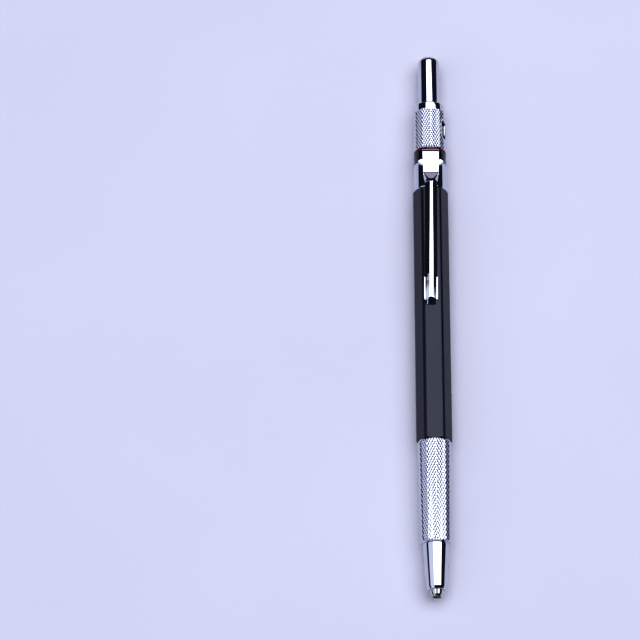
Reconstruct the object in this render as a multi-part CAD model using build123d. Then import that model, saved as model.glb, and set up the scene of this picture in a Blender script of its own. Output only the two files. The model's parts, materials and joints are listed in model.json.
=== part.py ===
"""A 2 mm clutch pencil (lead holder), lying on its side.

The tip points to -X and the push button to +X. The clip is on top (+Z) and the grade window faces -Y.
The origin is midway along the pencil, on the surface that it lies on. Lengths are in millimetres.
Inside this file a place along the pencil is a station: its distance back from the end of the jaws.
"""
from build123d import *
import os
from math import cos, radians, tan

os.makedirs("parts", exist_ok=True)

# Lengths that show, from the tip backwards
jaw_reach = 1.6  # jaws in front of the cone's rim
cone_length = 11.3
grip_length = 25.2
barrel_length = 64.9
neck_length = 6.65
clip_band_thickness = 0.35
collar_length = 3.2
red_ring_length = 0.6
knurl_length = 10.5  # knurled part of the grade sleeve
sleeve_band_length = 2.2  # smooth rear band of the grade sleeve
button_show_length = 13.5

# Diameters that show, and the steps between neighbours on the radius
cone_rear_diameter = 6.3
grip_front_diameter = 7.18
grip_rear_diameter = 8.05
barrel_across_flats = 7.77
barrel_edge_radius = 1.3
button_diameter = 5.3
sleeve_band_step = 0.225  # the sleeve's smooth band below its knurls
red_ring_step = 0.05  # the red ring above the knurls
collar_step = 0.075  # the collar above the knurls
neck_step = 0.15  # the neck above the collar

# Fits, all measured on the radius or along the axis
press_fit = 0.01  # between pieces that are pressed or screwed together
running_fit = 0.05  # between a piece and what it turns or slides on
lead_fit = 0.02  # jaws round the lead
free_gap = 0.15  # beside pieces that only pass each other
end_gap = 0.05  # along the axis, beside a piece that turns
small_bevel = 0.2

# Lead and clutch
lead_diameter = 2.0
lead_setback = 0.3
lead_spare = 12.25  # empty tube behind the lead
press_travel = 4.0
jaw_count = 3
jaw_slit = 0.35
jaw_length = 10.95
jaw_head_length = 2.0  # conical part that the seat closes
jaw_neck_length = 0.4
jaw_seat_angle = 8.0  # half angle of the seat's cone, in degrees
jaw_end_wall = 0.13
jaw_nose_wall = 0.42
jaw_nose_length = 0.55  # rounding at the jaws' ends
jaw_head_wall = 0.68
jaw_stem_wall = 0.23
hinge_gap = 0.1
collet_front_length = 4.0  # from the jaws' root to the tube's seat
collet_socket_length = 4.0

# Nose cone, grip, tube, spring and guides
cone_rim_wall = 0.45
cone_rounding = 0.3
jaw_swing_room = 0.8  # round the jaws' stems
cone_spigot_wall = 0.65
cone_spigot_length = 6.0
grip_thread_length = 6.4
grip_bore_step = 0.3
tube_bore_room = 0.15  # round the lead
tube_wall = 0.35
coupling_grip_length = 8.0
coupling_barrel_length = 8.0
coupling_bore_room = 0.8
guide_length = 3.0
spring_wire = 0.4
spring_room = 0.4  # round the tube
spring_bore_room = 0.45  # between the spring and the barrel
spring_turns = 11
spring_length = 14.0
spring_collar_length = 2.0

# Neck, clip stack and grade indicator
neck_front_length = 8.0  # spigot inside the barrel
drum_thread_length = 2.7  # neck's spigot inside the drum
drum_wall = 0.5
drum_rear_gap = 0.3
drum_groove_depth = 0.25
sleeve_wall = 0.55
sleeve_lip_length = 0.6
ring_width = 0.4
ring_reach = 0.22  # snap ring beyond the drum
ring_opening = 1.0
ring_from_rear = 3.5
window_width = 2.8
window_from_front = 3.0
window_rear_wall = 0.95
window_angle = 70.0  # from the top, towards -Y

# Push button and its lead pointer
button_wall = 0.5
button_end_wall = 1.3
button_dome_length = 1.7
button_front_room = 0.5  # left in front of the button when it is pressed
ferrule_inset = 0.5
pointer_room = 1.95  # between the tube and the pointer
pointer_length = 6.5
pointer_mouth_diameter = 2.3
pointer_end_diameter = 0.3
blade_thickness = 0.3
blade_length = 5.0
blade_width = 1.7

# Clip
clip_sheet = 0.45
clip_root_length = 7.0
clip_root_width = 4.0
clip_root_front_width = 3.7
clip_root_setback = 0.4  # collar's rear rim behind the plate
clip_slope_length = 0.65  # where the plate's rear end turns down
clip_slope_drop = 0.3
clip_ear_front = 0.9  # ears in front of the band
clip_ear_rear = 0.5  # ears behind the band
clip_ear_reach = 0.95  # ears beside the plate
clip_lift = 0.05  # plate above the neck
clip_rise_length = 2.1
clip_arm_width = 3.0
clip_arm_depth = 1.25
clip_arm_length = 32.3
clip_front_gap = 0.575  # under the arm's front end
clip_tail_gap = 0.125  # under the arm's tail, in front of which the nose turns down
clip_tail_width = 3.2
clip_tail_length = 2.2
clip_seam = 0.06
clip_rest_gap = 0.05
clip_skew = 0.8  # degrees by which the arm's tail leans towards +Y

# Radii, from the lead outwards
lead_radius = lead_diameter / 2
jaw_bore_radius = lead_radius + lead_fit
jaw_end_radius = jaw_bore_radius + jaw_end_wall
jaw_nose_radius = jaw_bore_radius + jaw_nose_wall
jaw_stem_radius = jaw_bore_radius + jaw_stem_wall
jaw_head_radius = jaw_bore_radius + jaw_head_wall
jaw_neck_radius = jaw_head_radius - jaw_head_length * tan(radians(jaw_seat_angle))
cone_rim_radius = jaw_head_radius + lead_fit + cone_rim_wall
cone_shoulder_radius = cone_rim_radius + cone_rounding
chamber_radius = jaw_stem_radius + jaw_swing_room
collet_radius = chamber_radius - free_gap
cone_spigot_radius = chamber_radius + cone_spigot_wall
grip_bore_radius = cone_spigot_radius + grip_bore_step
tube_bore_radius = lead_radius + tube_bore_room
tube_radius = tube_bore_radius + tube_wall
coupling_bore_radius = tube_radius + coupling_bore_room
spring_radius = tube_radius + spring_room + spring_wire / 2
barrel_bore_radius = spring_radius + spring_wire / 2 + spring_bore_room
button_radius = button_diameter / 2
button_bore_radius = button_radius - button_wall
stack_radius = button_radius + free_gap
drum_radius = stack_radius + drum_wall
sleeve_bore_radius = drum_radius + running_fit
sleeve_radius = sleeve_bore_radius + sleeve_wall
collar_radius = sleeve_radius + collar_step
neck_radius = collar_radius + neck_step
flat_height = barrel_across_flats / 2
body_top = max(neck_radius, flat_height)
axis_height = max(neck_radius, flat_height, grip_rear_diameter / 2)

# Stations, worked out from the lengths above
cone_front = jaw_reach
grip_front = cone_front + cone_length
barrel_front = grip_front + grip_length
neck_front = barrel_front + barrel_length
band_front = neck_front + neck_length
collar_front = band_front + clip_band_thickness
red_front = collar_front + collar_length
sleeve_front = red_front + red_ring_length
sleeve_band_front = sleeve_front + knurl_length
sleeve_rear = sleeve_band_front + sleeve_band_length
overall_length = sleeve_rear + button_show_length
stack_rear = sleeve_front + drum_thread_length
drum_rear = sleeve_rear - sleeve_lip_length - drum_rear_gap
ring_middle = sleeve_rear - ring_from_rear
guide_front = barrel_front + coupling_barrel_length
spring_front = guide_front + guide_length
spring_rear = spring_front + spring_length
collet_front = jaw_length + hinge_gap
tube_front = collet_front + collet_front_length
dome_front = overall_length - button_dome_length
pointer_rear = overall_length - button_end_wall
pointer_front = pointer_rear - pointer_length
tube_rear = pointer_front - pointer_room
button_front = stack_rear + press_travel + button_front_room
clip_rear = red_front - clip_root_setback
clip_hinge = clip_rear - clip_root_length
clip_crest = clip_hinge - clip_rise_length
clip_tail = clip_crest - clip_arm_length + clip_tail_length

# Heights of the clip above the axis
plate_bottom = body_top + clip_lift
plate_top = plate_bottom + clip_sheet
crest_front_height = body_top + clip_front_gap + clip_arm_depth
crest_tail_height = body_top + clip_tail_gap + clip_arm_depth


def turned(*outline):
    """A solid turned about the pencil's axis, from the (station, radius) corners of its half section."""
    return revolve(make_face(Plane.XZ * Polyline(*outline, close=True)), Axis.X)


def ring(front, rear, bore, outside, front_bevel=0.0, rear_bevel=0.0):
    """A turned tube between two stations, with its outer edges bevelled."""
    outline = [(front, bore), (front, outside - front_bevel)]
    if front_bevel:
        outline.append((front + front_bevel, outside))
    if rear_bevel:
        outline.append((rear - rear_bevel, outside))
    outline += [(rear, outside - rear_bevel), (rear, bore)]
    return turned(*outline)


def save(name, solid):
    """Write one piece, moved from stations to its place on the surface."""
    placed = Pos(-overall_length / 2, 0, axis_height) * solid
    placed.label = name
    export_step(placed, f"parts/{name}.step")


def nose_cone():
    """The tip: rounded mouth, conical seat for the jaws, chamber behind it and a spigot into the grip."""
    seat_front = jaw_head_radius + lead_fit
    seat_rear = jaw_neck_radius + lead_fit
    seat_end = cone_front + jaw_head_length
    spigot_rear = grip_front + cone_spigot_length
    outline = [
        (cone_front, seat_front),
        (cone_front, cone_rim_radius - small_bevel),
        (cone_front + small_bevel, cone_rim_radius),
        (cone_front + 5 * small_bevel, cone_shoulder_radius),
        (grip_front, cone_rear_diameter / 2),
        (grip_front, cone_spigot_radius),
        (spigot_rear, cone_spigot_radius),
        (spigot_rear, chamber_radius),
        (seat_end + chamber_radius - seat_rear, chamber_radius),
        (seat_end, seat_rear),
    ]
    return turned(*outline)


def grip_sleeve():
    """The tapered grip, bored to take the cone's spigot in front and the coupling behind."""
    front = grip_front_diameter / 2
    rear = grip_rear_diameter / 2
    thread = cone_spigot_radius + press_fit
    step = grip_front + grip_thread_length
    outline = [
        (grip_front, thread),
        (grip_front, front - small_bevel),
        (grip_front + small_bevel, front),
        (barrel_front - small_bevel, rear),
        (barrel_front, rear - small_bevel),
        (barrel_front, grip_bore_radius),
        (step, grip_bore_radius),
        (step, thread),
    ]
    return turned(*outline)


def front_coupling():
    """The bush that joins the grip to the barrel."""
    grip_end = barrel_front - coupling_grip_length
    in_grip = grip_bore_radius - press_fit
    in_barrel = barrel_bore_radius - press_fit
    outline = [
        (grip_end, coupling_bore_radius),
        (grip_end, in_grip),
        (barrel_front, in_grip),
        (barrel_front, in_barrel),
        (guide_front, in_barrel),
        (guide_front, coupling_bore_radius),
    ]
    return turned(*outline)


def guide_bush():
    """The fixed bush that guides the tube and carries the spring's front end."""
    return ring(guide_front, spring_front, tube_radius + running_fit, barrel_bore_radius - press_fit)


def barrel():
    """The hexagonal body, with a flat on top, rounded edges and turned bevels at both ends."""
    circumradius = flat_height / cos(radians(30))
    hexagon = fillet(RegularPolygon(circumradius, 6).vertices(), barrel_edge_radius)
    body = Pos(barrel_front, 0, 0) * extrude(Plane.YZ * hexagon, barrel_length)
    corner = circumradius - barrel_edge_radius * (1 / cos(radians(30)) - 1)
    bevel = corner - flat_height
    blank = ring(barrel_front, neck_front, barrel_bore_radius, corner, bevel, bevel)
    return body & blank


def neck_bush():
    """The plated bush behind the barrel: its front spigot is in the barrel, its rear one carries the stack."""
    front = neck_front - neck_front_length
    bore = tube_radius + running_fit
    spigot = barrel_bore_radius - press_fit
    outline = [
        (front, bore),
        (front, spigot),
        (neck_front, spigot),
        (neck_front, neck_radius - small_bevel),
        (neck_front + small_bevel, neck_radius),
        (band_front - small_bevel, neck_radius),
        (band_front, neck_radius - small_bevel),
        (band_front, stack_radius),
        (stack_rear, stack_radius),
        (stack_rear, bore),
    ]
    return turned(*outline) - root_block(press_fit, overall_length)


def root_block(clearance, height):
    """The ears and the web under the clip's plate or, with a clearance and more height, the notch for them."""
    front = band_front - clip_ear_front - clearance
    rear = clip_rear + clearance
    plate = clip_root_width / 2 + clearance
    corners = [
        (front, plate),
        (band_front, plate + clip_ear_reach),
        (collar_front, plate + clip_ear_reach),
        (collar_front + clip_ear_rear + clearance, plate),
        (rear, plate),
    ]
    mirrored = [(station, -side) for station, side in reversed(corners)]
    plan = make_face(Polyline(*corners, *mirrored, close=True))
    ears = ring(front, rear, collar_radius - clip_sheet - clearance, height) & extrude(plan, height)
    floor = collar_radius - 2 * clip_sheet - clearance
    web = Box(rear - front, 2 * plate, height - floor, align=(Align.MIN, Align.CENTER, Align.MIN))
    return ears + Pos(front, 0, floor) * web


def clip_root():
    """Band, ears and plate of the clip, held between the neck and the collar."""
    band = ring(band_front, collar_front, stack_radius + press_fit, collar_radius)
    front = clip_root_front_width / 2
    rear = clip_root_width / 2
    plan = Polyline((clip_hinge, -front), (clip_rear, -rear), (clip_rear, rear), (clip_hinge, front), close=True)
    plate = Pos(0, 0, plate_bottom) * extrude(make_face(plan), clip_sheet)
    slope_front = (clip_rear - clip_slope_length, plate_top)
    slope = Polyline(slope_front, (clip_rear, plate_top), (clip_rear, plate_top - clip_slope_drop), close=True)
    above_slope = extrude(make_face(Plane.XZ * slope), rear, both=True)
    return band + root_block(0, plate_bottom) + plate - above_slope


def clip_section(station, bottom, top, half_width):
    """One D-shaped section of the clip's arm: a round back over a flat open side."""
    arch = ThreePointArc((-half_width, bottom), (0, top), (half_width, bottom))
    closing = Line((half_width, bottom), (-half_width, bottom))
    return Pos(station, 0, 0) * (Plane.YZ * make_face(arch + closing))


def clip_arm():
    """The clip's arm: a rise from the plate, a long channel with a round back, and a nose on the barrel."""
    rest = flat_height + clip_rest_gap
    half = clip_arm_width / 2
    tail_half = clip_tail_width / 2
    front_open = crest_front_height - clip_arm_depth
    tail_open = crest_tail_height - clip_arm_depth
    outer = [
        (clip_hinge - clip_seam, plate_bottom, plate_top, clip_root_front_width / 2),
        (clip_crest, front_open, crest_front_height, half),
        (clip_tail, tail_open, crest_tail_height, tail_half),
        (clip_tail - clip_tail_length / 2, rest, crest_tail_height - clip_sheet, tail_half),
        (clip_tail - clip_tail_length, rest, rest + 2 * clip_sheet, tail_half - clip_sheet),
    ]
    below = clip_sheet / 2
    inner = [
        (clip_crest, front_open - below, crest_front_height - clip_sheet, half - clip_sheet),
        (clip_tail, tail_open - below, crest_tail_height - clip_sheet, tail_half - clip_sheet),
    ]
    shell = loft([clip_section(*section) for section in outer], ruled=True)
    arm = shell - loft([clip_section(*section) for section in inner], ruled=True)
    return Pos(clip_hinge, 0, 0) * Rot(Z=-clip_skew) * Pos(-clip_hinge, 0, 0) * arm


def rear_collar():
    """The gloss collar, notched on top for the clip's ears and plate."""
    bore = stack_radius + press_fit
    collar = ring(collar_front, red_front, bore, collar_radius, small_bevel, small_bevel)
    return collar - root_block(press_fit, overall_length)


def red_ring():
    """The coloured ring between the collar and the grade sleeve."""
    return ring(red_front, sleeve_front - end_gap, stack_radius + press_fit, sleeve_radius + red_ring_step)


def grade_drum():
    """The fixed drum that carries the grade marks, screwed onto the neck's rear spigot."""
    groove = ring_groove(drum_radius - drum_groove_depth, drum_radius + running_fit, 0)
    return ring(sleeve_front - end_gap, drum_rear, stack_radius + press_fit, drum_radius) - groove


def ring_groove(bore, outside, side_gap):
    """The space of the snap ring, with room at its sides."""
    half = ring_width / 2 + side_gap
    return ring(ring_middle - half, ring_middle + half, bore, outside)


def retaining_ring():
    """The snap ring in the drum's groove, open on one side."""
    hoop = ring_groove(drum_radius - drum_groove_depth, drum_radius + ring_reach, 0)
    opening = Pos(ring_middle, 0, -drum_radius) * Box(2 * ring_width, ring_opening, drum_radius)
    return hoop - opening


def grade_sleeve():
    """The turning sleeve: knurled body, smooth rear band, lip round the button and the grade window."""
    band = sleeve_radius - sleeve_band_step
    lip = button_radius + free_gap
    lip_front = sleeve_rear - sleeve_lip_length
    outline = [
        (sleeve_front, sleeve_bore_radius),
        (sleeve_front, sleeve_radius - small_bevel),
        (sleeve_front + small_bevel, sleeve_radius),
        (sleeve_band_front - sleeve_band_step, sleeve_radius),
        (sleeve_band_front, band),
        (sleeve_rear - 2 * small_bevel, band),
        (sleeve_rear, band - 2 * small_bevel),
        (sleeve_rear, lip),
        (lip_front, lip),
        (lip_front, sleeve_bore_radius),
    ]
    groove = ring_groove(drum_radius, drum_radius + ring_reach + running_fit, end_gap)
    window_front = sleeve_front + window_from_front
    window_rear = ring_middle - ring_width / 2 - window_rear_wall
    slot = extrude(SlotOverall(window_rear - window_front, window_width), 2 * sleeve_radius)
    window = Rot(X=window_angle) * Pos((window_front + window_rear) / 2, 0, 0) * slot
    return turned(*outline) - groove - window


def plunger_tube():
    """The tube that the lead lies in, from the clutch to the button."""
    return ring(tube_front, tube_rear, tube_bore_radius, tube_radius)


def spring_collar():
    """The collar fixed on the tube, which the spring pushes back."""
    outside = barrel_bore_radius - free_gap
    rear = spring_rear + spring_collar_length
    return ring(spring_rear, rear, tube_radius + press_fit, outside, small_bevel, small_bevel)


def return_spring():
    """The compression spring round the tube, with its ends just inside the two seats."""
    wire = spring_wire / 2
    length = spring_length - 2 * wire - 2 * end_gap
    start = (spring_front + wire + end_gap, 0, 0)
    path = Helix(length / spring_turns, length, spring_radius, center=start, direction=(1, 0, 0))
    profile = Plane(origin=path @ 0, z_dir=path % 0) * Circle(wire)
    return sweep(profile, path=path, is_frenet=True)


def collet_body():
    """The root of the clutch, screwed onto the tube's front end."""
    bore = jaw_bore_radius + lead_fit
    socket = tube_radius + press_fit
    socket_rear = tube_front + collet_socket_length
    outline = [
        (collet_front, bore),
        (collet_front, collet_radius - small_bevel),
        (collet_front + small_bevel, collet_radius),
        (socket_rear, collet_radius),
        (socket_rear, socket),
        (tube_front, socket),
        (tube_front, bore),
    ]
    return turned(*outline)


def collet_jaw(index):
    """One clutch jaw: pointed head, conical seat and a thin stem, with slits on both its sides."""
    head_rear = cone_front + jaw_head_length
    outline = [
        (0, jaw_bore_radius),
        (0, jaw_end_radius),
        (jaw_nose_length, jaw_nose_radius),
        (jaw_reach - small_bevel, jaw_head_radius),
        (jaw_reach, jaw_head_radius),
        (head_rear, jaw_neck_radius),
        (head_rear + jaw_neck_length, jaw_stem_radius),
        (jaw_length, jaw_stem_radius),
        (jaw_length, jaw_bore_radius),
    ]
    collet = turned(*outline)
    pitch = 360 / jaw_count
    slit = Box(3 * jaw_length, jaw_slit, 2 * jaw_head_radius, align=(Align.CENTER, Align.CENTER, Align.MIN))
    for side in range(jaw_count):
        collet -= Rot(X=(side + 0.5) * pitch) * slit
    top_jaw = max(collet.solids(), key=lambda solid: solid.center().Z)
    return Rot(X=(index + 0.5) * pitch) * top_jaw


def button_bush():
    """The ferrule on the tube's rear end, which the button grips."""
    front = button_front + ferrule_inset
    rear = tube_rear - ferrule_inset
    return ring(front, rear, tube_radius + press_fit, button_bore_radius - lead_fit, small_bevel, small_bevel)


def push_button():
    """The pull-off button: a cup with a domed end."""
    dome = EllipticalCenterArc((dome_front, 0), button_dome_length, button_radius)
    outline = [
        (dome_front, button_radius),
        (button_front, button_radius),
        (button_front, button_bore_radius),
        (pointer_rear, button_bore_radius),
        (pointer_rear, 0),
        (overall_length, 0),
    ]
    return revolve(make_face(Plane.XZ * (dome + Polyline(*outline))), Axis.X)


def blade_block(clearance):
    """The pointer's blade, flat beside the cone that it pares."""
    middle = (pointer_front + pointer_rear) / 2
    flat = (pointer_mouth_diameter + pointer_end_diameter) / 4
    size = (blade_length + 2 * clearance, blade_width + 2 * clearance, blade_thickness + 2 * clearance)
    return Pos(middle, 0, flat + blade_thickness / 2) * Box(*size)


def pointer_insert():
    """The lead pointer inside the button: a plug with a conical hole and a slot for its blade."""
    rear = pointer_rear - press_fit
    outside = button_bore_radius - press_fit
    plug = turned(
        (pointer_front, pointer_mouth_diameter / 2),
        (pointer_front, outside),
        (rear, outside),
        (rear, pointer_end_diameter / 2),
    )
    return plug - blade_block(press_fit)


def lead():
    """The graphite rod, a little back from the ends of the jaws."""
    return ring(lead_setback, tube_rear - lead_spare, 0, lead_radius)


save("nose_cone", nose_cone())
save("grip_sleeve", grip_sleeve())
save("front_coupling", front_coupling())
save("guide_bush", guide_bush())
save("barrel", barrel())
save("neck_bush", neck_bush())
save("clip_root", clip_root())
save("clip_arm", clip_arm())
save("rear_collar", rear_collar())
save("red_ring", red_ring())
save("grade_drum", grade_drum())
save("retaining_ring", retaining_ring())
save("grade_sleeve", grade_sleeve())
save("plunger_tube", plunger_tube())
save("spring_collar", spring_collar())
save("return_spring", return_spring())
save("collet_body", collet_body())
for jaw in range(jaw_count):
    save(f"collet_jaw_{jaw + 1}", collet_jaw(jaw))
save("button_bush", button_bush())
save("push_button", push_button())
save("pointer_insert", pointer_insert())
save("pointer_blade", blade_block(0))
save("lead", lead())
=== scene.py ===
"""The looks of a 2 mm clutch pencil (lead holder) that lies on a pale table.

Everything is in metres in the part's own frame: the tip points to -X, the button to +X, and the clip is
on top. Turned pieces are outlines carried round the pencil's axis, and the knurls are in the mesh.
"""
import json
import math

import bmesh
import bpy
import numpy as np
from mathutils import Matrix, Vector


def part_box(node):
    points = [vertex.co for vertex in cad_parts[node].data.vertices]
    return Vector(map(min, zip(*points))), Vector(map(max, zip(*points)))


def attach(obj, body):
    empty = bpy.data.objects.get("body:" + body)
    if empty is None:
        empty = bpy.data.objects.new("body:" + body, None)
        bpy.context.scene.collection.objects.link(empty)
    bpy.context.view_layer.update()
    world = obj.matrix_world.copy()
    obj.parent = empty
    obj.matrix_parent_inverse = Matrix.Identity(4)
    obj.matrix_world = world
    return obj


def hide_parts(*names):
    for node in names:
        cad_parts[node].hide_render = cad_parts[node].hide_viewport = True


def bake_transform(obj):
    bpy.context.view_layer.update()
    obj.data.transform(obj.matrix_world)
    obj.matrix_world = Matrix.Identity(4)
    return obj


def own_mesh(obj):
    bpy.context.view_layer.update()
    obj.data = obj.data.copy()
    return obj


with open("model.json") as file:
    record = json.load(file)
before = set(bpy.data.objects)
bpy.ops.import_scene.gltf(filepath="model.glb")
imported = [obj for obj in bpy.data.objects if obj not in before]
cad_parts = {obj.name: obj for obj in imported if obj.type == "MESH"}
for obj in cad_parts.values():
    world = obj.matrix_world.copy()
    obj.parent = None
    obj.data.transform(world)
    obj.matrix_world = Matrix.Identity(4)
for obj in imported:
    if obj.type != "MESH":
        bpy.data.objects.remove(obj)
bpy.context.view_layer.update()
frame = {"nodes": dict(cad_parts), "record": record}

MM = 0.001
TURN = 2 * math.pi


# ---------------------------------------------------------------- places, read from the frame

def front(node):
    """The end of a node that is nearest the tip."""
    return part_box(node)[0].x


def rear(node):
    """The end of a node that is nearest the button."""
    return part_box(node)[1].x


def radius(node):
    """The largest radius of a turned node."""
    low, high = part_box(node)
    return (high.y - low.y) / 2


AXIS = (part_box("push_button")[0].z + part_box("push_button")[1].z) / 2
BODIES = frame["record"]["behaviour"]["bodies"]
NODE_BODY = {node: body for body, nodes in BODIES.items() for node in nodes}
NODE_SLOT = {part["node"]: part["material_slot"] for part in frame["record"]["subparts"]}
SPIGOT_BORE = 2.81 * MM  # of the rings that sit on the neck's spigot
WINDOW_TURN = math.radians(-70)  # of the grade window, from the clip's side round the axis


# ---------------------------------------------------------------- materials

def srgb(code):
    """A hex colour such as "d8dae8" as linear red, green, blue and alpha."""
    parts = [int(code[i:i + 2], 16) / 255 for i in (0, 2, 4)]
    return tuple(p / 12.92 if p <= 0.04045 else ((p + 0.055) / 1.055) ** 2.4 for p in parts) + (1.0,)


def add(tree, kind, inputs=None, **settings):
    """Adds one node: its settings by name, and each input from a value or from another node's output."""
    node = tree.nodes.new(kind)
    for name, value in settings.items():
        setattr(node, name, value)
    for name, value in (inputs or {}).items():
        if isinstance(value, bpy.types.NodeSocket):
            tree.links.new(value, node.inputs[name])
        else:
            node.inputs[name].default_value = value
    return node


def ramp(tree, factor, *stops):
    """A colour ramp node from (position, grey value) stops."""
    node = add(tree, "ShaderNodeValToRGB", {"Fac": factor})
    elements = node.color_ramp.elements
    while len(elements) < len(stops):
        elements.new(0.5)
    for element, (position, grey) in zip(elements, stops):
        element.position = position
        element.color = (grey, grey, grey, 1)
    return node.outputs["Color"]


def new_material(name):
    """An empty material with its tree, a principled shader and the object's own coordinates."""
    material = bpy.data.materials.new(name)
    material.use_nodes = True
    tree = material.node_tree
    tree.nodes.clear()
    shader = add(tree, "ShaderNodeBsdfPrincipled")
    add(tree, "ShaderNodeOutputMaterial", {"Surface": shader.outputs["BSDF"]})
    place = add(tree, "ShaderNodeTexCoord").outputs["Object"]
    return material, tree, shader, place


def noise_at(tree, place, size, detail=3.0, stretch=(1, 1, 1)):
    """Noise whose blotches measure about size metres, drawn out by stretch."""
    scale = tuple(1 / (size * s) for s in stretch)
    mapped = add(tree, "ShaderNodeMapping", {"Vector": place, "Scale": scale})
    inputs = {"Vector": mapped.outputs["Vector"], "Scale": 1.0, "Detail": detail}
    return add(tree, "ShaderNodeTexNoise", inputs).outputs["Fac"]


def bump(tree, height, distance):
    """A bump node for a height pattern, with its depth in metres."""
    inputs = {"Height": height, "Distance": distance, "Strength": 1.0}
    return add(tree, "ShaderNodeBump", inputs).outputs["Normal"]


def two_tones(tree, shader, factor, first, second):
    """Gives the shader a base colour that wanders between two close tones."""
    tones = {"Factor": factor, "A": srgb(first), "B": srgb(second)}
    colour = add(tree, "ShaderNodeMix", tones, data_type="RGBA")
    tree.links.new(colour.outputs["Result"], shader.inputs["Base Color"])


def chrome_plate():
    """Chromium plate on turned brass: a cool mirror with faint handling haze and hairline scratches."""
    material, tree, shader, place = new_material("chromium_plate")
    haze = noise_at(tree, place, 4 * MM, 4)
    shader.inputs["Metallic"].default_value = 1.0
    two_tones(tree, shader, haze, "c9ccd6", "d6d8e0")
    tree.links.new(ramp(tree, haze, (0.35, 0.035), (0.75, 0.075)), shader.inputs["Roughness"])
    hairlines = noise_at(tree, place, 0.05 * MM, 2, stretch=(24, 1, 1))
    tree.links.new(bump(tree, hairlines, 0.0006 * MM), shader.inputs["Normal"])
    return material


def satin_black():
    """Black moulded barrel plastic: spark-eroded satin skin, blue cast and patches rubbed by the hand."""
    material, tree, shader, place = new_material("satin_black_abs")
    rubbed = noise_at(tree, place, 6 * MM, 5, stretch=(3, 1, 1))
    two_tones(tree, shader, rubbed, "0f1220", "151a2a")
    tree.links.new(ramp(tree, rubbed, (0.3, 0.24), (0.8, 0.34)), shader.inputs["Roughness"])
    shader.inputs["IOR"].default_value = 1.46
    grain = noise_at(tree, place, 0.06 * MM, 2)
    drag = noise_at(tree, place, 0.12 * MM, 3, stretch=(40, 1, 1))
    skin = add(tree, "ShaderNodeMath", {0: grain, 1: drag}, operation="ADD").outputs["Value"]
    tree.links.new(bump(tree, skin, 0.0025 * MM), shader.inputs["Normal"])
    return material


def gloss_plastic(name, deep, light):
    """Gloss moulded plastic with faint flow marks and fine dust scratches."""
    material, tree, shader, place = new_material(name)
    flow = noise_at(tree, place, 1.5 * MM, 4)
    two_tones(tree, shader, flow, deep, light)
    tree.links.new(ramp(tree, flow, (0.3, 0.09), (0.8, 0.17)), shader.inputs["Roughness"])
    shader.inputs["IOR"].default_value = 1.5
    scratches = noise_at(tree, place, 0.06 * MM, 2, stretch=(1, 1, 12))
    tree.links.new(bump(tree, scratches, 0.0012 * MM), shader.inputs["Normal"])
    return material


def turned_metal(name, dark, light, rough_low, rough_high):
    """Turned or drawn metal: tool rings round the axis, slight tarnish and a soft shine."""
    material, tree, shader, place = new_material(name)
    tarnish = noise_at(tree, place, 1.2 * MM, 5)
    two_tones(tree, shader, tarnish, dark, light)
    shader.inputs["Metallic"].default_value = 1.0
    tree.links.new(ramp(tree, tarnish, (0.3, rough_low), (0.8, rough_high)), shader.inputs["Roughness"])
    rings = noise_at(tree, place, 0.05 * MM, 1, stretch=(1, 60, 60))
    tree.links.new(bump(tree, rings, 0.002 * MM), shader.inputs["Normal"])
    return material


def graphite():
    """Extruded graphite and clay lead: dark grey with a metallic sheen and long die marks."""
    material, tree, shader, place = new_material("graphite_lead")
    streak = noise_at(tree, place, 0.15 * MM, 4, stretch=(30, 1, 1))
    two_tones(tree, shader, streak, "2a2b2f", "46474c")
    shader.inputs["Metallic"].default_value = 0.35
    tree.links.new(ramp(tree, streak, (0.3, 0.38), (0.8, 0.55)), shader.inputs["Roughness"])
    tree.links.new(bump(tree, streak, 0.004 * MM), shader.inputs["Normal"])
    return material


def pad_print():
    """White pad-printing ink: matt, slightly uneven in cover."""
    material, tree, shader, place = new_material("white_pad_print")
    cover = noise_at(tree, place, 0.3 * MM, 3)
    two_tones(tree, shader, cover, "d9dad6", "f2f2ee")
    tree.links.new(ramp(tree, cover, (0.3, 0.5), (0.8, 0.65)), shader.inputs["Roughness"])
    return material


def table_laminate():
    """Pale matt laminate with a cool cast and a very fine grain."""
    material, tree, shader, place = new_material("pale_laminate")
    cloud = noise_at(tree, place, 60 * MM, 2)
    two_tones(tree, shader, cloud, "d6d3d9", "dcd9df")
    shader.inputs["Roughness"].default_value = 0.7
    tree.links.new(bump(tree, noise_at(tree, place, 0.4 * MM, 2), 0.01 * MM), shader.inputs["Normal"])
    return material


FINISH = {
    "chrome": chrome_plate(),
    "black_plastic": satin_black(),
    "gloss_black": gloss_plastic("gloss_black_plastic", "07070b", "0c0c12"),
    "red_plastic": gloss_plastic("wine_red_plastic", "4e0620", "640a2b"),
    "grade_black": gloss_plastic("matt_black_drum", "08080a", "0e0e11"),
    "brass": turned_metal("turned_brass", "b08a48", "cba765", 0.16, 0.3),
    "jaw_brass": turned_metal("nickel_plated_brass", "b9b8b4", "d2d1cd", 0.1, 0.2),
    "spring_steel": turned_metal("spring_steel", "8d9097", "b4b7bc", 0.18, 0.32),
    "tube_steel": turned_metal("drawn_tube_steel", "9a9da3", "bcbfc4", 0.16, 0.3),
    "graphite": graphite(),
}


# ---------------------------------------------------------------- mesh making

def shaded_piece(name, mesh, material, sharp):
    """An object for a mesh, shaded smooth except at edges sharper than so many degrees."""
    mesh.shade_smooth()
    mesh.set_sharp_from_angle(angle=math.radians(sharp))
    mesh.materials.append(material)
    piece = bpy.data.objects.new(name, mesh)
    bpy.context.scene.collection.objects.link(piece)
    return piece


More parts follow.
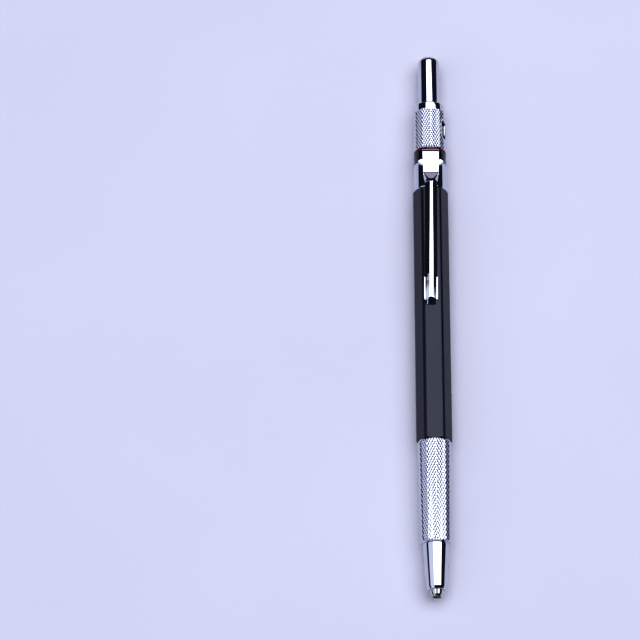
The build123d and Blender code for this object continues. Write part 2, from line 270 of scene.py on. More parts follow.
def make_piece(name, points, faces, material, sharp=32):
    """A piece from arrays of points and of quads, with collapsed quads and doubled points taken out."""
    mesh = bpy.data.meshes.new(name)
    mesh.from_pydata(points.reshape(-1, 3).tolist(), [], faces.tolist())
    work = bmesh.new()
    work.from_mesh(mesh)
    bmesh.ops.remove_doubles(work, verts=work.verts, dist=1e-7)
    bmesh.ops.dissolve_degenerate(work, edges=work.edges, dist=1e-8)
    bmesh.ops.recalc_face_normals(work, faces=work.faces)
    work.to_mesh(mesh)
    work.free()
    return shaded_piece(name, mesh, material, sharp)


def ngon_piece(name, points, faces, material, sharp=32):
    """A piece from an array of points and a list of faces that have different numbers of corners."""
    mesh = bpy.data.meshes.new(name)
    mesh.from_pydata(points.reshape(-1, 3).tolist(), [], faces)
    work = bmesh.new()
    work.from_mesh(mesh)
    bmesh.ops.remove_doubles(work, verts=work.verts, dist=1e-7)
    bmesh.ops.recalc_face_normals(work, faces=work.faces)
    bmesh.ops.triangulate(work, faces=[face for face in work.faces if len(face.verts) > 4])
    work.to_mesh(mesh)
    work.free()
    return shaded_piece(name, mesh, material, sharp)


def stands_for(piece, node):
    """The piece takes the place and the body of one CAD node, whose own mesh is hidden."""
    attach(piece, NODE_BODY[node])
    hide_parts(node)


def grid_faces(rows, columns, close_rows=True, close_columns=True):
    """Quads between the neighbouring points of a grid, closed round either way."""
    row = np.arange(rows if close_rows else rows - 1)
    column = np.arange(columns if close_columns else columns - 1)
    r, c = np.meshgrid(row, column, indexing="ij")
    here, there = r * columns, (r + 1) % rows * columns
    c2 = (c + 1) % columns
    return np.stack([here + c, here + c2, there + c2, there + c], -1).reshape(-1, 4)


def rounded_outline(corners, steps=6, guard=0.05 * MM):
    """Half section with its corners rounded: each corner is (x, radius from the axis, corner radius).

    A rounded corner becomes an arc that is tangent to both its sides. Guard points beside each arc keep
    the shading of the flats even.
    """
    count = len(corners)
    outline = []
    for i, (x, r, size) in enumerate(corners):
        here = np.array([x, r])
        before = np.array(corners[i - 1][:2]) - here
        after = np.array(corners[(i + 1) % count][:2]) - here
        room_before, room_after = np.linalg.norm(before), np.linalg.norm(after)
        before, after = before / room_before, after / room_after
        half = math.acos(np.clip(np.dot(before, after), -1, 1)) / 2
        reach = min(size / math.tan(half), 0.45 * room_before, 0.45 * room_after) if size else 0
        if not reach:
            outline.append(here[None])
            continue
        fillet = reach * math.tan(half)
        centre = here + (before + after) / np.linalg.norm(before + after) * fillet / math.sin(half)
        t = np.linspace(-1, 1, steps + 1)[:, None] * (math.pi / 2 - half)
        bisector = (here - centre) / np.linalg.norm(here - centre)
        side = np.array([-bisector[1], bisector[0]])
        if np.dot(side, after) < 0:
            side = -side
        arc = centre + fillet * (np.cos(t) * bisector + np.sin(t) * side)
        outline += [(here + before * min(reach + guard, 0.49 * room_before))[None], arc]
        outline.append((here + after * min(reach + guard, 0.49 * room_after))[None])
    return np.concatenate(outline)


def spun(outline, segments=160):
    """An outline of (x, radius) carried round the axis: y = radius sin(turn), z = axis + radius cos(turn)."""
    turn = np.linspace(0, TURN, segments, endpoint=False)
    x, r = outline[:, :1], outline[:, 1:]
    return np.stack([x + 0 * turn, r * np.sin(turn), AXIS + r * np.cos(turn)], -1)


def lathe(node, *corners):
    """A turned piece that stands for a CAD node, from the rounded corners of its half section."""
    points = spun(rounded_outline(corners))
    piece = make_piece(f"{node}_turned", points, grid_faces(*points.shape[:2]), FINISH[NODE_SLOT[node]])
    stands_for(piece, node)


# ---------------------------------------------------------------- nose cone and clutch

def nose_cone():
    """Chromed tip: rolled rim, rounded shoulder, straight cone, and a small land in front of the grip."""
    tip, seam = front("nose_cone"), front("grip_sleeve")
    back = radius("nose_cone")
    lathe(
        "nose_cone",
        (tip, 1.74 * MM, 0.06 * MM),
        (tip, 2.12 * MM, 0.25 * MM),
        (tip + 0.75 * MM, 2.44 * MM, 0.9 * MM),
        (seam - 0.35 * MM, back, 0.12 * MM),
        (seam, back - 0.08 * MM, 0),
        (seam, 2.7 * MM, 0),
        (seam + 6 * MM, 2.7 * MM, 0.1 * MM),
        (seam + 6 * MM, 2.05 * MM, 0),
        (tip + 2.6 * MM, 2.05 * MM, 0),
        (tip + 2.0 * MM, 1.46 * MM, 0),
    )


def clutch_jaws(count=3, slit=0.35 * MM, samples=14):
    """Each jaw: an outline carried through its share of a turn, with walls half a slit from the radial plane.

    At radius r a jaw reaches half its share of a turn - arcsin(slit / 2r) to both sides of its middle.
    """
    tip, seat = front("lead") - 0.3 * MM, front("nose_cone")
    root = rear("collet_jaw_1")
    outline = rounded_outline(
        [
            (tip + 0.03 * MM, 1.02 * MM, 0.03 * MM),
            (tip, 1.12 * MM, 0.06 * MM),
            (tip + 0.55 * MM, 1.46 * MM, 0.35 * MM),
            (seat - 0.18 * MM, 1.69 * MM, 0.15 * MM),
            (seat + 0.02 * MM, 1.7 * MM, 0.05 * MM),
            (seat + 2.0 * MM, 1.419 * MM, 0),
            (seat + 2.4 * MM, 1.25 * MM, 0),
            (root, 1.25 * MM, 0),
            (root, 1.02 * MM, 0),
        ]
    )
    x, r = outline[:, :1], outline[:, 1:]
    share = np.linspace(-1, 1, samples)
    turn = share * (math.pi / count - np.arcsin(slit / 2 / r))
    for index in range(count):
        middle = (index + 0.5) * TURN / count
        y, z = -r * np.sin(turn + middle), r * np.cos(turn + middle)
        points = np.stack([x + 0 * turn, y, AXIS + z], -1)
        rows, columns = points.shape[:2]
        walls = [list(range(wall, rows * columns, columns)) for wall in (0, columns - 1)]
        faces = grid_faces(rows, columns, close_columns=False).tolist() + walls
        node = f"collet_jaw_{index + 1}"
        stands_for(ngon_piece(f"{node}_turned", points, faces, FINISH[NODE_SLOT[node]]), node)


# ---------------------------------------------------------------- knurled sleeves

KNURL_STARTS = 36
KNURL_STEPS = 10  # grid steps across one diamond, both ways


def knurl_height(rows, columns):
    """Diamond knurl on a grid, 0 in the grooves and 1 on the crests, and which family's groove is nearer.

    Two families of grooves cross. The height is the distance to the nearest groove of either family, in half
    pitches: four flat facets on each diamond, with a sharp groove between diamonds.
    """
    row, column = np.meshgrid(np.arange(rows), np.arange(columns), indexing="ij")
    half = KNURL_STEPS / 2
    right = np.abs((column + row + half) % KNURL_STEPS - half)
    left = np.abs((column - row + half) % KNURL_STEPS - half)
    return np.minimum(left, right) / half, left < right


def diagonal_triangles(rows, columns, left_nearer):
    """Two triangles for each quad of a grid closed round its columns, split along the nearer groove."""
    quads = grid_faces(rows, columns, close_rows=False)
    a, b, c, d = quads.T
    row, column = quads[:, 0] // columns, quads[:, 0] % columns
    along = left_nearer[row, column] | left_nearer[(row + 1) % rows, (column + 1) % columns]
    first = np.where(along[:, None], np.stack([a, b, c], -1), np.stack([a, b, d], -1))
    second = np.where(along[:, None], np.stack([a, c, d], -1), np.stack([b, c, d], -1))
    return np.concatenate([first, second])


def knurled_grip():
    """Tapered grip: shallow diamond knurls between turned lands at both ends, over a plain bore."""
    start, end = front("grip_sleeve"), rear("grip_sleeve")
    small, large = 3.59 * MM, radius("grip_sleeve")
    land, depth, pitch = 0.35 * MM, 0.1 * MM, 1.27 * MM
    columns = KNURL_STARTS * KNURL_STEPS
    rows = round((end - start - 2 * land) / pitch * KNURL_STEPS) + 1
    height, left = knurl_height(rows, columns)
    x = np.linspace(start + land, end - land, rows)[:, None]
    taper = np.interp(x, [start, end], [small, large])
    outside = taper - depth * (1 - height)
    turn = np.arange(columns) * TURN / columns
    knurls = np.stack([x + 0 * turn, outside * np.sin(turn), AXIS + outside * np.cos(turn)], -1)
    floor_front, floor_rear = small - depth, large - depth
    head = rounded_outline([(start, floor_front - 0.12 * MM, 0), (start + 0.12 * MM, floor_front, 0)])
    tail = rounded_outline(
        [
            (end - 0.12 * MM, large - 0.1 * MM, 0),
            (end, floor_rear - 0.05 * MM, 0),
            (end, 3.0 * MM, 0),
            (start + 6.4 * MM, 3.0 * MM, 0),
            (start + 6.4 * MM, 2.71 * MM, 0),
            (start, 2.71 * MM, 0),
        ]
    )
    points = np.concatenate([spun(head, columns), knurls, spun(tail, columns)])
    total = len(points)
    nearer = np.zeros((total, columns), bool)
    nearer[2:2 + rows] = left
    faces = diagonal_triangles(total, columns, nearer).tolist()
    last = (total - 1) * columns
    faces += [[last + c, last + (c + 1) % columns, (c + 1) % columns, c] for c in range(columns)]
    piece = ngon_piece("grip_sleeve_knurled", points, faces, FINISH["chrome"], sharp=20)
    stands_for(piece, "grip_sleeve")


def knurled_grade_sleeve():
    """Grade sleeve: diamond knurls round a window with a flat rim, then a smooth bevelled band and a lip.

    The rim is where hypot(distance along past the slot's straight part, distance around) < width / 2 + rim.
    """
    start, end = front("grade_sleeve"), rear("grade_sleeve")
    top = radius("grade_sleeve")
    band_start, land = end - 2.2 * MM, 0.2 * MM
    depth, pitch = 0.095 * MM, 1.15 * MM
    band, bore, lip = top - 0.225 * MM, 3.35 * MM, 2.8 * MM
    columns = KNURL_STARTS * KNURL_STEPS
    rows = round((band_start - start - land) / pitch * KNURL_STEPS) + 1
    height, left = knurl_height(rows, columns)
    x = np.linspace(start + land, band_start, rows)[:, None]
    turn = np.arange(columns) * TURN / columns
    low, high, width, rim = start + 3.0 * MM, start + 8.2 * MM, 2.8 * MM, 0.4 * MM
    along = np.maximum(np.abs(x - (low + high) / 2) - (high - low - width) / 2, 0)
    around = top * ((turn - WINDOW_TURN + math.pi) % TURN - math.pi)
    height = np.where(np.hypot(along, around) - width / 2 < rim, 0.6, height)
    outside = top - depth * (1 - height)
    knurls = np.stack([x + 0 * turn, outside * np.sin(turn), AXIS + outside * np.cos(turn)], -1)
    head = rounded_outline([(start, top - depth - 0.15 * MM, 0), (start + 0.08 * MM, top - depth, 0)])
    tail = rounded_outline(
        [
            (band_start + 0.05 * MM, band - 0.02 * MM, 0),
            (band_start + 0.16 * MM, band, 0),
            (end - 0.35 * MM, band, 0.12 * MM),
            (end, band - 0.42 * MM, 0.08 * MM),
            (end, lip, 0.05 * MM),
            (end - 0.6 * MM, lip, 0),
            (end - 0.6 * MM, bore, 0),
            (start, bore, 0),
        ]
    )
    points = np.concatenate([spun(head, columns), knurls, spun(tail, columns)])
    total = len(points)
    nearer = np.zeros((total, columns), bool)
    nearer[2:2 + rows] = left
    faces = diagonal_triangles(total, columns, nearer).tolist()
    last = (total - 1) * columns
    faces += [[last + c, last + (c + 1) % columns, (c + 1) % columns, c] for c in range(columns)]
    piece = ngon_piece("grade_sleeve_knurled", points, faces, FINISH["chrome"], sharp=20)
    cut_window(piece, low, high, width)
    stands_for(piece, "grade_sleeve")


def cut_window(piece, low, high, width):
    """Cuts the slot-shaped window through the sleeve's wall, outwards from the axis."""
    half = width / 2
    t = np.linspace(-math.pi / 2, math.pi / 2, 17)
    right = np.stack([high - half + half * np.cos(t), half * np.sin(t)], -1)
    left = np.stack([low + half - half * np.cos(t), -half * np.sin(t)], -1)
    plan = np.concatenate([right, left])
    depth = np.array([1.5 * MM, 6 * MM])[:, None]
    x, side = plan[:, 0] + 0 * depth, plan[:, 1] + 0 * depth
    points = np.stack([x, side, depth + 0 * x], -1)
    spin = np.array(Matrix.Rotation(-WINDOW_TURN, 3, "X"))
    points = points @ spin.T + np.array([0, 0, AXIS])
    count = len(plan)
    faces = grid_faces(2, count, close_rows=False).tolist()
    faces += [list(range(count)), list(range(count, 2 * count))]
    cutter = ngon_piece("window_cutter", points, faces, FINISH["chrome"])
    modifier = piece.modifiers.new("window", "BOOLEAN")
    modifier.operation, modifier.object, modifier.solver = "DIFFERENCE", cutter, "EXACT"
    depsgraph = bpy.context.evaluated_depsgraph_get()
    mesh = bpy.data.meshes.new_from_object(piece.evaluated_get(depsgraph), depsgraph=depsgraph)
    piece.modifiers.clear()
    piece.data = mesh
    bpy.data.objects.remove(cutter)


# ---------------------------------------------------------------- barrel

def hexagonal_barrel():
    """Hexagonal tube: a rounded section carried along X, cut back by a cone at both ends, over a round bore.

    With h the height of a flat, the section's radius is h / cos(turn off the flat's middle), and round a
    corner it is c cos(turn off the corner) + sqrt(edge^2 - (c sin(turn off the corner))^2), where c is the
    distance from the axis to the centre of the corner's arc.
    """
    start, end = front("barrel"), rear("barrel")
    low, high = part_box("barrel")
    flat = (high.z - low.z) / 2
    slant = 1 / math.cos(math.pi / 6)
    edge = (flat * slant - radius("barrel")) / (slant - 1)
    turn = np.linspace(0, TURN, 360, endpoint=False)
    off_flat = (turn + math.pi / 6) % (math.pi / 3) - math.pi / 6
    off_corner = math.pi / 6 - np.abs(off_flat)
    centre = (flat - edge) / math.cos(math.pi / 6)
    on_flat = flat / np.cos(off_flat)
    swing = np.minimum(centre * np.sin(off_corner), edge)
    on_arc = centre * np.cos(off_corner) + np.sqrt(edge**2 - swing**2)
    limit = math.atan((flat - edge) * math.tan(math.pi / 6) / flat)
    section = np.where(np.abs(off_flat) < limit, on_flat, on_arc)
    bevel = radius("barrel") - flat - 0.12 * MM
    ends = np.array([0, 0.02, 0.06, 0.12, 0.18, 0.24, 0.3, 0.36, 0.42, 0.48, 0.6, 0.8]) * MM
    x = np.concatenate([start + ends, end - ends[::-1]])[:, None]
    from_end = np.minimum(x - start, end - x)
    cone = radius("barrel") - bevel * np.clip(1 - from_end / (0.24 * MM), 0, 1)
    outside = np.minimum(section, cone)
    skin = np.stack([x + 0 * turn, outside * np.sin(turn), AXIS + outside * np.cos(turn)], -1)
    bore = spun(np.array([[end, 2.76 * MM], [start, 2.76 * MM]]), len(turn))
    points = np.concatenate([skin, bore])
    faces = grid_faces(*points.shape[:2])
    stands_for(make_piece("barrel_hexagonal", points, faces, FINISH["black_plastic"], sharp=28), "barrel")


# ---------------------------------------------------------------- neck, collar and ring

def neck_bush():
    """Chromed bush behind the barrel, with a rolled front edge and a plain spigot behind."""
    start, seam = rear("barrel"), front("clip_root") + 3.85 * MM
    outside, spigot = radius("neck_bush"), 2.79 * MM
    lathe(
        "neck_bush",
        (start + 0.01 * MM, 2.9 * MM, 0),
        (start + 0.01 * MM, outside, 0.28 * MM),
        (seam, outside, 0.2 * MM),
        (seam, spigot, 0),
        (rear("neck_bush"), spigot, 0.1 * MM),
        (rear("neck_bush"), 1.55 * MM, 0),
        (start - 8 * MM, 1.55 * MM, 0),
        (start - 8 * MM, 2.74 * MM, 0),
        (start + 0.01 * MM, 2.74 * MM, 0),
    )


def rear_collar():
    """Gloss black collar with a rounded rear edge and a slightly flared front edge."""
    start, end = front("rear_collar"), rear("rear_collar")
    outside = radius("rear_collar")
    lathe(
        "rear_collar",
        (start, SPIGOT_BORE, 0),
        (start, outside + 0.03 * MM, 0.06 * MM),
        (start + 0.8 * MM, outside, 0.5 * MM),
        (end, outside - 0.02 * MM, 0.3 * MM),
        (end, SPIGOT_BORE, 0),
    )


def red_ring():
    """Thin wine-red ring with softened edges."""
    start, end = front("red_ring"), rear("red_ring")
    outside, softened = radius("red_ring"), 0.1 * MM
    lathe(
        "red_ring",
        (start, SPIGOT_BORE, 0),
        (start, outside, softened),
        (end, outside, softened),
        (end, SPIGOT_BORE, 0),
    )


def grade_drum():
    """Black drum behind the window."""
    start, end = front("grade_drum"), rear("grade_drum")
    outside = radius("grade_drum")
    lathe(
        "grade_drum",
        (start, SPIGOT_BORE, 0),
        (start, outside, 0),
        (end, outside, 0.1 * MM),
        (end, SPIGOT_BORE, 0),
    )


def grade_marks(grades=("HB", "B", "2B", "2H", "H", "F"), letter=1.5 * MM):
    """Lead grades printed round the drum, one every sixth of a turn: flat letters bent round its surface.

    A letter's own height above its baseline, divided by the drum's radius, is its turn round the axis.
    """
    outside = radius("grade_drum")
    middle = front("grade_sleeve") + 5.6 * MM
    mark_points, mark_faces, count = [], [], 0
    for index, grade in enumerate(grades):
        curve = bpy.data.curves.new("grade", "FONT")
        curve.body, curve.size = grade, letter * 1.35
        curve.align_x, curve.align_y = "CENTER", "CENTER"
        curve.resolution_u = 4
        holder = bpy.data.objects.new("grade", curve)
        bpy.context.scene.collection.objects.link(holder)
        depsgraph = bpy.context.evaluated_depsgraph_get()
        mesh = bpy.data.meshes.new_from_object(holder.evaluated_get(depsgraph), depsgraph=depsgraph)
        flat = np.zeros(len(mesh.vertices) * 3)
        mesh.vertices.foreach_get("co", flat)
        flat = flat.reshape(-1, 3)
        angle = WINDOW_TURN + index * TURN / len(grades) + flat[:, 1] / outside
        out = outside + 0.012 * MM
        bent = [middle + flat[:, 0], out * np.sin(angle), AXIS + out * np.cos(angle)]
        mark_points.append(np.stack(bent, -1))
        mark_faces += [[count + v for v in polygon.vertices] for polygon in mesh.polygons]
        count += len(flat)
        bpy.data.objects.remove(holder)
    piece = ngon_piece("grade_marks", np.concatenate(mark_points), mark_faces, pad_print())
    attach(piece, NODE_BODY["grade_drum"])


# ---------------------------------------------------------------- button, lead and inner pieces

def push_button():
    """Chromed cap: plain tube, open in front, with a dome whose section is a quarter of an ellipse.

    On the dome x = end - dome + dome sin(turn) and radius = outside cos(turn).
    """
    start, end = front("push_button"), rear("push_button")
    outside, bore, dome, wall = radius("push_button"), 2.15 * MM, 1.7 * MM, 1.3 * MM
    turn = np.linspace(0, math.pi / 2, 25)[:, None]
    cap = np.concatenate([end - dome + dome * np.sin(turn), outside * np.cos(turn)], 1)
    cap[-1, 1] = 0
    inside = rounded_outline(
        [
            (end - wall, 0, 0),
            (end - wall, bore, 0),
            (start, bore, 0),
            (start, outside, 0.1 * MM),
            (end - dome - 0.05 * MM, outside, 0),
        ]
    )
    points = spun(np.concatenate([inside, cap]))
    piece = make_piece("push_button_turned", points, grid_faces(*points.shape[:2]), FINISH["chrome"])
    stands_for(piece, "push_button")


def lead_rod():
    """Graphite rod with a slightly worn front end."""
    start, end = front("lead"), rear("lead")
    outside = radius("lead")
    corners = [(start, 0, 0), (start, outside, 0.2 * MM), (end, outside, 0.05 * MM), (end, 0, 0)]
    points = spun(rounded_outline(corners), 96)
    piece = make_piece("lead_rod", points, grid_faces(*points.shape[:2]), FINISH["graphite"])
    stands_for(piece, "lead")


def return_spring(turns=11, wire=0.2 * MM, around=12):
    """Compression spring: a round wire carried along a helix, with one closed turn at each end.

    The axial place along the helix eases in and out so that the end turns lie nearly flat.
    """
    start, end = front("return_spring"), rear("return_spring")
    coil = radius("return_spring") - wire
    steps = turns * 40
    share = np.linspace(0, 1, steps)
    ends = 1.0 / turns
    pace = np.clip(np.minimum(share, 1 - share) / ends, 0.35, 1)
    travelled = np.concatenate([[0], np.cumsum((pace[1:] + pace[:-1]) / 2)])
    x = start + wire + travelled / travelled[-1] * (end - start - 2 * wire)
    turn = share * turns * TURN
    middle = np.stack([x, coil * np.sin(turn), coil * np.cos(turn)], -1)
    tangent = np.gradient(middle, axis=0)
    tangent /= np.linalg.norm(tangent, axis=1)[:, None]
    outward = np.stack([0 * turn, np.sin(turn), np.cos(turn)], -1)
    binormal = np.cross(tangent, outward)
    ring = np.linspace(0, TURN, around, endpoint=False)[None, :, None]
    round_wire = np.cos(ring) * outward[:, None] + np.sin(ring) * binormal[:, None]
    points = middle[:, None] + wire * round_wire + np.array([0, 0, AXIS])
    faces = grid_faces(steps, around, close_rows=False).tolist()
    faces += [list(range(around)), list(range((steps - 1) * around, steps * around))]
    piece = ngon_piece("return_spring_coil", points, faces, FINISH["spring_steel"], sharp=50)
    stands_for(piece, "return_spring")
    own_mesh(piece)


def finish_cad_nodes():
    """Inner pieces keep their CAD shape and get their own metals and plastics."""
    for node, obj in frame["nodes"].items():
        obj.data.materials.clear()
        obj.data.materials.append(FINISH[NODE_SLOT[node]])


# ---------------------------------------------------------------- clip

CLIP_SHEET = 0.4 * MM
CLIP_SKEW = math.tan(math.radians(0.8))
CLIP_CURL = 2.2 * MM  # from the start of the nose's curl to the arm's end


def clip_ears():
    """Two three-cornered lugs beside the plate, with tops that fall away by 5 degrees and softened edges."""
    rear_end, plate = rear("clip_root"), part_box("clip_root")[1].z
    band = rear_end - 3.15 * MM
    for side, hand in (("left", 1), ("right", -1)):
        plan = np.array([(band + 0.95 * MM, 1.85), (band + 0.85 * MM, 2.0), (band + 0.08 * MM, 3.08),
                         (band - 0.08 * MM, 3.10), (band - 0.20 * MM, 3.02), (band - 1.0 * MM, 2.0),
                         (band - 1.1 * MM, 1.85)])
        x, y = plan[:, 0], plan[:, 1] * MM
        middle = np.array([x.mean(), y.mean()])
        levels = []
        for height, spread in ((-1.6, 1.0), (-0.24, 1.0), (-0.19, 0.98), (-0.17, 0.93), (-0.16, 0.85)):
            lx, ly = middle[0] + (x - middle[0]) * spread, middle[1] + (y - middle[1]) * spread
            fall = math.tan(math.radians(5)) * (ly - 2 * MM) if height > -1 else 0 * ly
            levels.append(np.stack([lx, hand * ly, plate + height * MM - fall], -1))
        points = np.array(levels)
        count = len(plan)
        faces = grid_faces(len(levels), count, close_rows=False).tolist()
        faces += [list(range(count)), list(range((len(levels) - 1) * count, len(levels) * count))]
        piece = ngon_piece(f"clip_ear_{side}", points, faces, FINISH["chrome"], sharp=50)
        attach(piece, NODE_BODY["clip_root"])


def smooth_between(at, keys, values):
    """A curve through key values that never overshoots: cubic pieces with limited slopes at the keys."""
    step = np.diff(keys)
    slope = np.diff(values) / step
    same_way = slope[:-1] * slope[1:] > 0
    mean = 2 * slope[:-1] * slope[1:] / np.where(same_way, slope[:-1] + slope[1:], 1)
    tangents = np.concatenate([[slope[0]], np.where(same_way, mean, 0), [slope[-1]]])
    i = np.clip(np.searchsorted(keys, at, side="right") - 1, 0, len(step) - 1)
    u = (at - keys[i]) / step[i]
    start, end = values[i], values[i + 1]
    return (
        start * (1 + 2 * u) * (1 - u) ** 2
        + tangents[i] * step[i] * u * (1 - u) ** 2
        + end * u**2 * (3 - 2 * u)
        - tangents[i + 1] * step[i] * u**2 * (1 - u)
    )


def clip_sections():
    """The clip's sections from its rear end to its curled nose, in metres and radians."""
    rear_end, hinge = rear("clip_root"), front("clip_root")
    plate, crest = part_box("clip_root")[1].z + 0.02 * MM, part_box("clip_arm")[1].z
    tail, flat = front("clip_arm") + CLIP_CURL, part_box("barrel")[1].z
    # in mm and degrees: along from the rear end, the hinge or the tail; height of the crown over the plate,
    # the crest or the barrel; half width of the flat crown; radius and angle of the arc; half width and drop
    # at the edge; and how far the section is a channel (1) or a bent plate (0)
    rows = [
        (rear_end, 0.02, plate, -0.30, 1.90, 0.12, 70, 2.02, 0.10, 0),
        (rear_end, -0.10, plate, -0.22, 1.90, 0.12, 70, 2.02, 0.10, 0),
        (rear_end, -0.60, plate, -0.02, 1.90, 0.12, 70, 2.02, 0.10, 0),
        (rear_end, -0.75, plate, 0.0, 1.90, 0.12, 70, 2.02, 0.10, 0),
        (hinge, 1.10, plate, 0.0, 1.78, 0.10, 70, 1.88, 0.09, 0),
        (hinge, 0.80, plate, 0.0, 1.77, 0.10, 70, 1.87, 0.10, 0),
        (hinge, 0.70, plate, 0.01, 1.76, 0.12, 72, 1.87, 0.12, 0.05),
        (hinge, 0.55, plate, 0.07, 1.66, 0.18, 75, 1.85, 0.3, 0.2),
        (hinge, -0.50, plate, 0.60, 1.08, 0.42, 78, 1.72, 0.85, 0.7),
        (hinge, -1.70, crest, -0.15, 0.34, 0.8, 50, 1.58, 0.85, 1),
        (hinge, -2.10, crest, -0.03, 0.10, 0.95, 47, 1.52, 0.88, 1),
        (hinge, -2.60, crest, 0.0, 0, 1.0, 46, 1.5, 0.9, 1),
        (hinge, -12.0, crest, -0.02, 0, 1.15, 43, 1.48, 0.88, 1),
        (tail, 12.0, crest, -0.12, 0, 1.35, 41, 1.48, 0.85, 1),
        (tail, 5.8, crest, -0.30, 0, 1.4, 40, 1.47, 0.82, 1),
        (tail, 5.2, crest, -0.33, 0, 1.4, 38, 1.6, 0.68, 0.4),
        (tail, 4.8, crest, -0.35, 0, 1.4, 37, 1.62, 0.62, 0.1),
        (tail, 0.4, crest, -0.60, 0, 1.4, 37, 1.62, 0.60, 0),
        (tail, -0.1, crest, -0.68, 0.05, 1.4, 37, 1.60, 0.56, 0),
        (tail, -0.5, crest, -0.92, 0.2, 1.2, 37, 1.50, 0.42, 0),
        (tail, -1.1, crest, -1.42, 0.4, 0.8, 38, 1.3, 0.26, 0),
        (tail, -1.6, flat, 0.32, 0.5, 0.6, 40, 1.1, 0.2, 0),
        (tail, -1.75, flat, 0.08, 0.5, 0.6, 40, 1.0, 0.18, 0),
    ]
    return np.array([(a + b * MM, c + d * MM, e * MM, f * MM, math.radians(g), h * MM, i * MM, j)
                     for a, b, c, d, e, f, g, h, i, j in rows])


def clip():
    """The whole clip as one bent sheet: plate, three-cornered rise, channel-shaped arm and curled nose.

    The crown of the sheet follows a smooth line in the XZ plane. Across it, every section is a flat crown,
    then an arc on both sides, then a flange that eases out at the edge, and a short skirt. The inner skin is
    the outer one drawn in towards the middle and moved down by the sheet's thickness.
    """
    hinge, crest, tail = front("clip_root"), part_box("clip_arm")[1].z, front("clip_arm") + CLIP_CURL
    keys = clip_sections()
    run = np.concatenate([[0], np.cumsum(np.hypot(np.diff(keys[:, 0]), np.diff(keys[:, 1])))])
    at = np.unique(np.concatenate([np.linspace(0, run[-1], 300), run]))
    columns = [smooth_between(at, run, column)[:, None] for column in keys.T]
    x, z, crown, arc, sweep, half, drop, channel = columns
    step_x, step_z = np.gradient(x[:, 0], at)[:, None], np.gradient(z[:, 0], at)[:, None]
    along = np.hypot(step_x, step_z)
    up_x, up_z = step_z / along, -step_x / along
    flat_part = np.array([0, 0.5, 1.0])[None]
    arc_part = np.linspace(0, 1, 14)[None, 1:]
    flange = np.array([0.13, 0.25, 0.38, 0.5, 0.6, 0.8, 1.0])[None]
    reach = crown + arc * np.sin(sweep)
    fall = arc * (1 - np.cos(sweep))
    slope = np.minimum(1.3 * flange, 1)
    ease = channel * flange + (1 - channel) * slope * slope * (3 - 2 * slope)
    side = np.concatenate([crown * flat_part, crown + arc * np.sin(sweep * arc_part),
                           reach + (half - reach) * flange, half], 1)
    down = np.concatenate([0 * x * flat_part, arc * (1 - np.cos(sweep * arc_part)),
                           fall + (drop - fall) * ease, drop + (0.02 + 0.33 * channel) * MM], 1)
    side = np.concatenate([-side[:, :0:-1], side], 1)
    down = np.concatenate([down[:, :0:-1], down], 1)
    inner_side = side * (1 - channel * CLIP_SHEET / half)
    inner_down = CLIP_SHEET + down * (1 - channel * CLIP_SHEET / np.maximum(down[:, :1], CLIP_SHEET))
    lobes = np.clip((tail + 4 * MM - x) / (4 * MM), 0, 1) * 0.5 * MM
    skins = []
    for y, below in ((side, down), (inner_side, inner_down)):
        shift = lobes * np.clip(np.abs(y) / (1.4 * MM), 0, 1) ** 1.5
        skin_x = x - up_x * below - shift
        skewed = y + np.clip(hinge - skin_x, 0, None) * CLIP_SKEW
        skins.append(np.stack([skin_x, skewed, z - up_z * below], -1))
    points = np.concatenate([skins[0], skins[1][:, ::-1]], 1)
    count, columns = points.shape[:2]
    faces = grid_faces(count, columns, close_rows=False).tolist()
    half_count = columns // 2
    for end_row in (0, (count - 1) * columns):
        faces += [[end_row + i, end_row + i + 1, end_row + columns - 2 - i, end_row + columns - 1 - i]
                  for i in range(half_count - 1)]
    piece = ngon_piece("clip_sheet", points, faces, FINISH["chrome"], sharp=40)
    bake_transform(piece)
    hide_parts("clip_arm")


# ---------------------------------------------------------------- stage, light and camera

def table():
    """Large flat table under the pencil."""
    reach = 1.5
    corners = np.array([(-reach, -reach, 0), (reach, -reach, 0), (reach, reach, 0), (-reach, reach, 0)])
    piece = make_piece("table_top", corners, np.array([(0, 1, 2, 3)]), table_laminate())


def panel(name, middle, facing, size, radiance, colour):
    """A soft rectangular light that shines one way, from its middle, the way it faces, size and radiance."""
    light = bpy.data.lights.new(name, "AREA")
    light.shape = "RECTANGLE"
    light.size, light.size_y = size
    light.energy = radiance * math.pi * size[0] * size[1]
    light.color = srgb(colour)[:3]
    lamp = bpy.data.objects.new(name, light)
    away = -Vector(facing).normalized()
    side = Vector((1, 0, 0)) if abs(away.x) < 0.9 else Vector((0, 1, 0))
    across = (side - away * side.dot(away)).normalized()
    axes = Matrix((across, away.cross(across), away)).transposed()
    lamp.matrix_world = Matrix.Translation(middle) @ axes.to_4x4()
    bpy.context.scene.collection.objects.link(lamp)


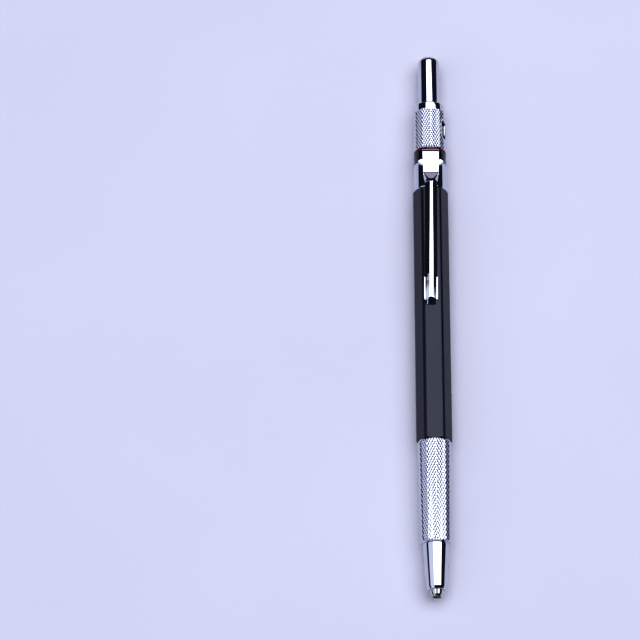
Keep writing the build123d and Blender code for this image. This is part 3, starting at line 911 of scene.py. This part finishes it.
def lighting():
    """A wide softbox above, a dim screen on the left of the tip, a far grey wall and a dark room."""
    height = 1.1
    left, right = height * math.tan(math.radians(27)), height * math.tan(math.radians(46))
    tip_end, button_end = -0.42, 0.69
    panel("overhead_softbox", ((tip_end + button_end) / 2, (left - right) / 2, height), (0, 0, -1),
          (button_end - tip_end, left + right), 2.5, "e6ebff")
    panel("left_screen", (-0.41, 0.80, 0.76), (0, -1, -0.5), (1.58, 0.9), 0.8, "e6ebff")
    panel("far_wall", (2.6, 0, 0.4), (-1, 0, 0), (3.0, 0.9), 0.45, "e0e0f0")
    world = bpy.data.worlds.new("dark_room")
    world.use_nodes = True
    tree = world.node_tree
    seen = add(tree, "ShaderNodeLightPath").outputs["Is Camera Ray"]
    dark_and_pale = {"Factor": seen, "A": srgb("22222c"), "B": srgb("d0d2ea")}
    shade = add(tree, "ShaderNodeMix", dark_and_pale, data_type="RGBA")
    tree.links.new(shade.outputs["Result"], tree.nodes["Background"].inputs["Color"])
    bpy.context.scene.world = world


def camera():
    """Long-lens camera above the tip end, leaning 22 degrees towards the button."""
    lean, distance = math.radians(22), 0.6988
    target = Vector((-0.0006, 0.0271, AXIS))
    data = bpy.data.cameras.new("camera")
    data.lens, data.sensor_width = 163.1, 36.0
    data.clip_start, data.clip_end = 0.01, 20
    obj = bpy.data.objects.new("camera", data)
    forward = Vector((math.sin(lean), 0, -math.cos(lean)))
    right = Vector((0, -1, 0))
    up = right.cross(forward)
    axes = Matrix((right, up, -forward)).transposed()
    obj.matrix_world = Matrix.Translation(target - forward * distance) @ axes.to_4x4()
    bpy.context.scene.collection.objects.link(obj)
    bpy.context.scene.camera = obj


camera()
finish_cad_nodes()
nose_cone()
clutch_jaws()
knurled_grip()
hexagonal_barrel()
neck_bush()
rear_collar()
red_ring()
grade_drum()
grade_marks()
knurled_grade_sleeve()
push_button()
lead_rod()
return_spring()
clip()
clip_ears()
table()
lighting()
bpy.context.scene.view_settings.view_transform = "Standard"
bpy.context.scene.view_settings.look = "High Contrast"
